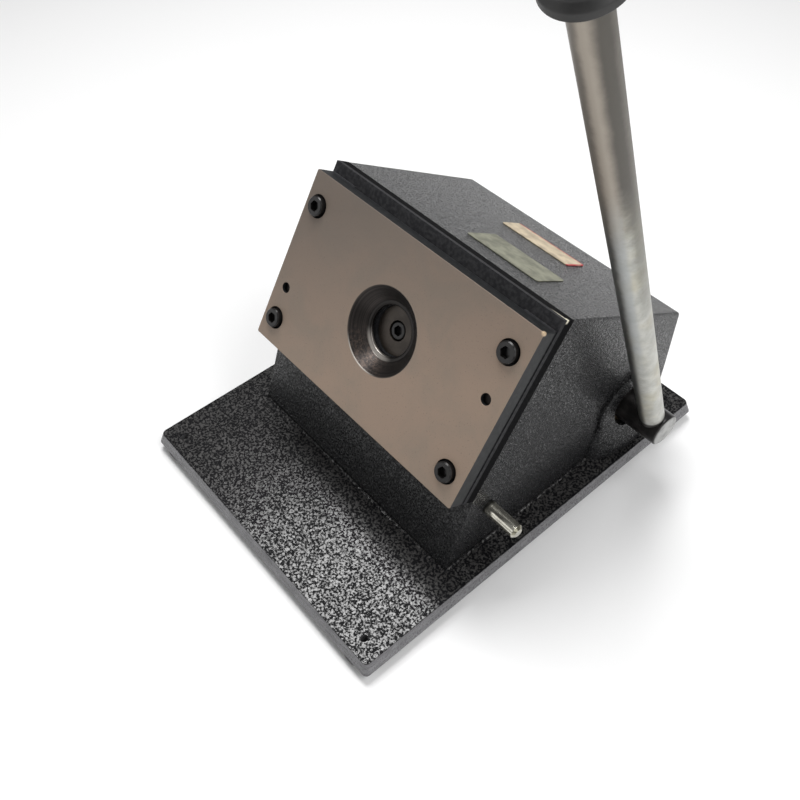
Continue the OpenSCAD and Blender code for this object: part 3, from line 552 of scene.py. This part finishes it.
MATERIALS = {
    "black_base": black_base(),
    "black_housing": black_housing(),
    "foot_rubber": rubber("foot_rubber", 0.62),
    "blackened_screw": plain_metal("blackened_screw", (0.012, 0.011, 0.011), 0.24, 0.4),
    "ground_plate": ground_plate(),
    "blackened_plate": blackened_plate(),
    "hardened_pin": plain_metal("hardened_pin", (0.03, 0.027, 0.025), 0.4),
    "bronze": plain_metal("bronze", (0.075, 0.050, 0.026), 0.4),
    "tool_steel": plain_metal("tool_steel", (0.062, 0.050, 0.040), 0.4, 0.5),
    "machined_steel": plain_metal("machined_steel", (0.36, 0.36, 0.37), 0.36),
    "oiled_shaft": oiled_shaft(),
    "spring_steel": plain_metal("spring_steel", (0.10, 0.10, 0.105), 0.38),
    "lever_steel": lever_steel(),
    "grip_plastic": rubber("grip_plastic", 0.4),
    "polished_pin": polished_pin(),
    "cream_tag": tag(
        "cream_tag", "name_plate_upper", (0.56, 0.47, 0.33), (0.33, 0.27, 0.19), (0.40, 0.045, 0.05)),
    "grey_tag": tag("grey_tag", "name_plate_lower", (0.22, 0.22, 0.16), (0.12, 0.12, 0.09)),
}


def paint(piece, slot):
    """Gives a piece its material in one slot."""
    piece.data.materials.clear()
    piece.data.materials.append(MATERIALS[slot])
    for face in piece.data.polygons:
        face.material_index = 0


for node_name, node in frame["nodes"].items():
    paint(node, SLOT_OF[node_name])


def linked(name, mesh):
    """A new piece in the scene, at the origin."""
    piece = bpy.data.objects.new(name, mesh)
    bpy.context.scene.collection.objects.link(piece)
    return piece


def applied(piece):
    """The piece's modifiers become its mesh."""
    graph = bpy.context.evaluated_depsgraph_get()
    result = bpy.data.meshes.new_from_object(piece.evaluated_get(graph))
    piece.modifiers.clear()
    piece.data = result


def smoothed(piece, degrees=35):
    """Smooth shading that leaves flat faces flat and edges sharper than the angle sharp."""
    for face in piece.data.polygons:
        face.use_smooth = True
    piece.data.set_sharp_from_angle(angle=math.radians(degrees))
    weigh = piece.modifiers.new("weigh", "WEIGHTED_NORMAL")
    weigh.keep_sharp = True
    weigh.weight = 100
    applied(piece)


def finish_piece(piece, slot, body):
    """The material of a record slot, and a body, for a piece that stands at the origin."""
    paint(piece, slot)
    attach(piece, body)


def stand_in(piece, node_name):
    """The piece takes a CAD node's place, body and material."""
    finish_piece(piece, SLOT_OF[node_name], BODY_OF[node_name])
    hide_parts(node_name)


def clean_mesh(node_name, piece_name):
    """A CAD node's surface, welded, with its flat faces whole again."""
    mesh = frame["nodes"][node_name].data.copy()
    mesh.name = piece_name
    work = bmesh.new()
    work.from_mesh(mesh)
    same_place = 0.002 * MM
    same_plane = math.radians(0.5)
    bmesh.ops.remove_doubles(work, verts=work.verts, dist=same_place)
    bmesh.ops.dissolve_limit(work, angle_limit=same_plane, verts=work.verts, edges=work.edges)
    work.to_mesh(mesh)
    work.free()
    return mesh


def on_circle(edge, radius, depth):
    """Whether an edge lies on a circle round the die's axis, at a depth behind the die plate's face."""
    near = 0.06 * MM
    for vert in edge.verts:
        away = vert.co - PLATE_ORIGIN
        out = away.dot(PLATE_OUT)
        reach = (away - PLATE_OUT * out).length
        if abs(reach - radius) > near or abs(out + depth) > near:
            return False
    return True


def round_edges(mesh, wanted, width):
    """Rounds the edges that wanted picks."""
    work = bmesh.new()
    work.from_mesh(mesh)
    edges = [edge for edge in work.edges if wanted(edge)]
    bmesh.ops.bevel(
        work, geom=edges, offset=width, segments=4, profile=0.5, affect="EDGES", clamp_overlap=True)
    work.to_mesh(mesh)
    work.free()


def eased(node_name, width):
    """A CAD node with its sharp edges broken by a small rounding, as a piece that takes its place."""
    piece_name = node_name + "_finished"
    mesh = clean_mesh(node_name, piece_name)
    if node_name == "die_plate":
        round_edges(mesh, lambda edge: on_circle(edge, HOLE_R, FUNNEL_DEPTH), HOLE_MOUTH_R)
    if node_name.startswith("name_plate"):
        round_edges(mesh, lambda edge: edge.calc_length() < 1.5 * TAG_T, TAG_CORNER_R)
    piece = linked(piece_name, mesh)
    bevel = piece.modifiers.new("bevel", "BEVEL")
    bevel.width = width
    bevel.segments = 2
    bevel.limit_method = "ANGLE"
    bevel.angle_limit = math.radians(32)
    applied(piece)
    smoothed(piece)
    stand_in(piece, node_name)


# Width of the broken edge on each piece that shows, in mm
EASED = {
    "base_plate": 0.5, "rubber_feet": 1.0, "housing": 0.5, "die_plate": 0.3, "stripper_plate": 0.2,
    "guide_plate": 0.4, "slot_spacers": 0.2, "plate_screws": 0.3, "punch": 0.25, "punch_screw": 0.2,
    "stop_pin": 0.12, "cross_shaft": 0.2, "lever_rod": 0.6, "retaining_ring": 0.1, "thrust_washer": 0.2,
    "shaft_collar": 0.3, "eccentric": 0.4, "ram_yoke": 0.4, "name_plate_upper": 0.05,
    "name_plate_lower": 0.05, "lever_grip": 0.5, "housing_screws": 0.2,
}
for node_name, width in EASED.items():
    eased(node_name, width * MM)


def foot_fillet():
    """The enamel that has run together in the corner between housing and base."""
    low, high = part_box("housing")
    reach = 1.5 * MM
    sunk = 0.05 * MM
    steps = 6
    # The housing's box holds its bosses. The left wall stands behind one, and the right wall is flush with
    # the plates
    left, right = low.x + BOSS_LEFT_PROUD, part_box("stripper_plate")[1].x
    front, rear = low.y, high.y
    corners = [(left, front), (right, front), (right, rear), (left, rear)]
    sides = [(-1, -1), (1, -1), (1, 1), (-1, 1)]
    verts, faces = [], []
    for k in range(steps + 1):
        a = math.radians(90 * k / steps)
        out, rise = reach * (1 - math.sin(a)), reach * (1 - math.cos(a))
        for (x, y), (sx, sy) in zip(corners, sides):
            verts.append((x + sx * out, y + sy * out, BASE_TOP + rise - sunk))
    for k in range(steps):
        for i in range(4):
            j = (i + 1) % 4
            faces.append((4 * k + i, 4 * k + j, 4 * k + 4 + j, 4 * k + 4 + i))
    mesh = bpy.data.meshes.new("foot_fillet")
    mesh.from_pydata(verts, [], faces)
    piece = linked("foot_fillet", mesh)
    smoothed(piece, 40)
    finish_piece(piece, "black_base", "frame")


foot_fillet()


def ring_tree():
    """Geometry Nodes: round rings set out along Z at an even pitch."""
    tree = bpy.data.node_groups.new("rings", "GeometryNodeTree")
    sockets = (("Radius", "Float"), ("Thickness", "Float"), ("Pitch", "Float"), ("Count", "Int"),
               ("Material", "Material"))
    for name, kind in sockets:
        tree.interface.new_socket(name, in_out="INPUT", socket_type="NodeSocket" + kind)
    tree.interface.new_socket("Geometry", in_out="OUTPUT", socket_type="NodeSocketGeometry")

    def node(kind, **inputs):
        made = tree.nodes.new(kind)
        for key, value in inputs.items():
            socket = made.inputs[key.replace("_", " ")]
            if isinstance(value, bpy.types.NodeSocket):
                tree.links.new(value, socket)
            else:
                socket.default_value = value
        return made

    given = node("NodeGroupInput").outputs
    ring = node("GeometryNodeCurvePrimitiveCircle", Resolution=48, Radius=given["Radius"])
    section = node("GeometryNodeCurvePrimitiveCircle", Resolution=10, Radius=given["Thickness"])
    tube = node(
        "GeometryNodeCurveToMesh", Curve=ring.outputs["Curve"], Profile_Curve=section.outputs["Curve"])
    step = node("ShaderNodeCombineXYZ", Z=given["Pitch"])
    line = node("GeometryNodeMeshLine", Count=given["Count"], Offset=step.outputs[0])
    rings = node("GeometryNodeInstanceOnPoints", Points=line.outputs[0], Instance=tube.outputs[0])
    real = node("GeometryNodeRealizeInstances", Geometry=rings.outputs[0])
    named = node("GeometryNodeSetMaterial", Geometry=real.outputs[0], Material=given["Material"])
    tree.links.new(named.outputs[0], tree.nodes.new("NodeGroupOutput").inputs["Geometry"])
    return tree


def grip_ribs():
    """Raised rings along the lever's grip."""
    low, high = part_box("lever_grip")
    level, upright = math.sin(LEVER_LEAN), math.cos(LEVER_LEAN)
    radius = (high.x - low.x) / 2
    length = (high.z - low.z - 2 * radius * level) / upright
    start = (low.z - SHAFT.z + radius * level) / upright
    waist = GRIP_WAIST * length
    values = {
        "Radius": radius, "Thickness": RIB_R, "Pitch": RIB_PITCH,
        "Count": int((length - waist - GRIP_END) / RIB_PITCH) + 1, "Material": MATERIALS["grip_plastic"],
    }
    piece = linked("grip_ribs", bpy.data.meshes.new("grip_ribs"))
    tree = ring_tree()
    modifier = piece.modifiers.new("rings", "NODES")
    modifier.node_group = tree
    for item in tree.interface.items_tree:
        if item.in_out == "INPUT":
            modifier[item.identifier] = values[item.name]
    applied(piece)
    axis = Matrix.Rotation(LEVER_LEAN, 4, "X") @ Matrix.Translation((0, 0, start + waist))
    piece.data.transform(Matrix.Translation(SHAFT) @ axis)
    smoothed(piece, 60)
    finish_piece(piece, "grip_plastic", BODY_OF["lever_grip"])


grip_ribs()


# Strength of the world as a light and as the backdrop, and how much of the backdrop reflections see
AMBIENT = 0.22
WHITE = 1.0
GLOSSY_SHARE = 0.08


def area_light(name, place, aim, size, glow):
    """A soft lamp whose surface has a stated radiance."""
    data = bpy.data.lights.new(name, "AREA")
    data.shape = "RECTANGLE"
    data.size, data.size_y = size
    data.energy = glow * math.pi * size[0] * size[1]
    lamp = bpy.data.objects.new(name, data)
    bpy.context.scene.collection.objects.link(lamp)
    lamp.location = place
    lamp.rotation_mode = "QUATERNION"
    lamp.rotation_quaternion = (Vector(aim) - Vector(place)).to_track_quat("-Z", "Y")


def make_world():
    """White to the camera, dim as a source of light, and a little less dim in reflections."""
    world = bpy.data.worlds.new("studio")
    bpy.context.scene.world = world
    world.use_nodes = True
    tree = world.node_tree
    tree.nodes.clear()
    ray = tree.nodes.new("ShaderNodeLightPath")
    glossy = tree.nodes.new("ShaderNodeMath")
    glossy.operation = "MULTIPLY_ADD"
    glossy.inputs[1].default_value = GLOSSY_SHARE
    tree.links.new(ray.outputs["Is Glossy Ray"], glossy.inputs[0])
    tree.links.new(ray.outputs["Is Camera Ray"], glossy.inputs[2])
    shades = []
    for strength in (AMBIENT, WHITE):
        shade = tree.nodes.new("ShaderNodeBackground")
        shade.inputs["Color"].default_value = (1, 1, 1, 1)
        shade.inputs["Strength"].default_value = strength
        shades.append(shade)
    mix = tree.nodes.new("ShaderNodeMixShader")
    out = tree.nodes.new("ShaderNodeOutputWorld")
    tree.links.new(glossy.outputs[0], mix.inputs[0])
    tree.links.new(shades[0].outputs[0], mix.inputs[1])
    tree.links.new(shades[1].outputs[0], mix.inputs[2])
    tree.links.new(mix.outputs[0], out.inputs["Surface"])


def make_studio():
    """Soft lamps and a plain pale floor."""
    bpy.context.scene.view_settings.view_transform = "Standard"
    make_world()
    aim = (0, 0, 0.06)
    area_light("overhead", (-0.33, 0.16, 1.1), (0.05, -0.08, 0.0), (0.5, 0.5), 13.0)
    area_light("right", (1.1, -0.15, 0.6), aim, (0.8, 0.8), 1.6)
    area_light("right_above", (0.75, 0.25, 1.2), (0.2, 0.0, 0.0), (0.7, 0.7), 5.0)
    area_light("front_left", (-0.75, -1.1, 0.45), aim, (0.9, 0.9), 1.2)
    reach = 3.0
    mesh = bpy.data.meshes.new("floor")
    corners = [(-reach, -reach, 0), (reach, -reach, 0), (reach, reach, 0), (-reach, reach, 0)]
    mesh.from_pydata(corners, [], [(0, 1, 2, 3)])
    mesh.materials.append(Graph("floor").set(Base_Color=(0.9, 0.9, 0.9), Roughness=0.6))
    linked("floor", mesh)


make_studio()
